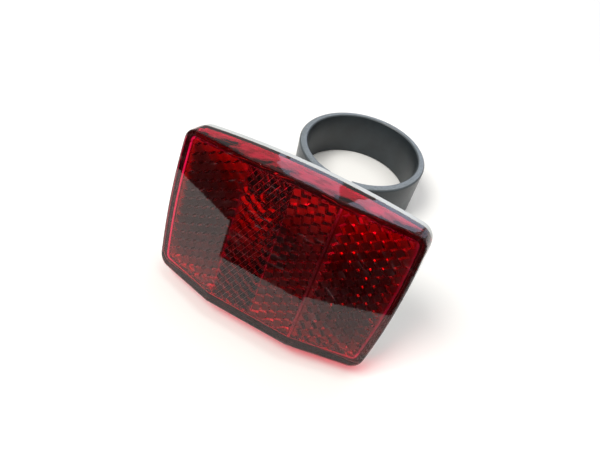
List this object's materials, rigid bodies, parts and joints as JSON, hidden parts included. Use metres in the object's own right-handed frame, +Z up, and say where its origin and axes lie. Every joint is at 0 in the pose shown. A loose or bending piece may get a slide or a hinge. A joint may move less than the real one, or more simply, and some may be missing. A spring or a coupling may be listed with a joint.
{
  "type": "bicycle rear reflector",
  "caption": "Red moulded prism lens on a grey back plate, carried by a tilting arm between the ears of a split ring that clamps round a seat post.",
  "frame": {"origin": "on the axis of the seat post bore, level with the ring's underside", "axes": "+Z up the seat post, -Y the way the reflector faces, +X to the right of someone looking along +Y at the lens"},
  "size_m": [0.0522, 0.0788, 0.035],
  "materials": {
    "lens": "clear red moulded acrylic, polished",
    "back_plate": "light grey moulded ABS, fine satin",
    "bracket": "black moulded nylon, satin",
    "steel": "zinc plated"
  },
  "bodies": {
    "clamp": {"clamp_ring": "bracket", "clamp_washer": "steel", "clamp_screw": "steel", "clamp_nut": "steel"},
    "reflector": {"tilt_arm": "bracket", "back_plate": "back_plate", "lens": "lens", "mount_stud": "steel", "stud_washer": "steel", "stud_nut": "steel"}
  },
  "joints": [
    {"name": "reflector_tilt", "type": "hinge", "parent": "clamp", "child": "reflector", "pos_m": [0, -0.027, 0.00665], "axis": [-1, 0, 0], "range_deg": [-40, 45]}
  ]
}
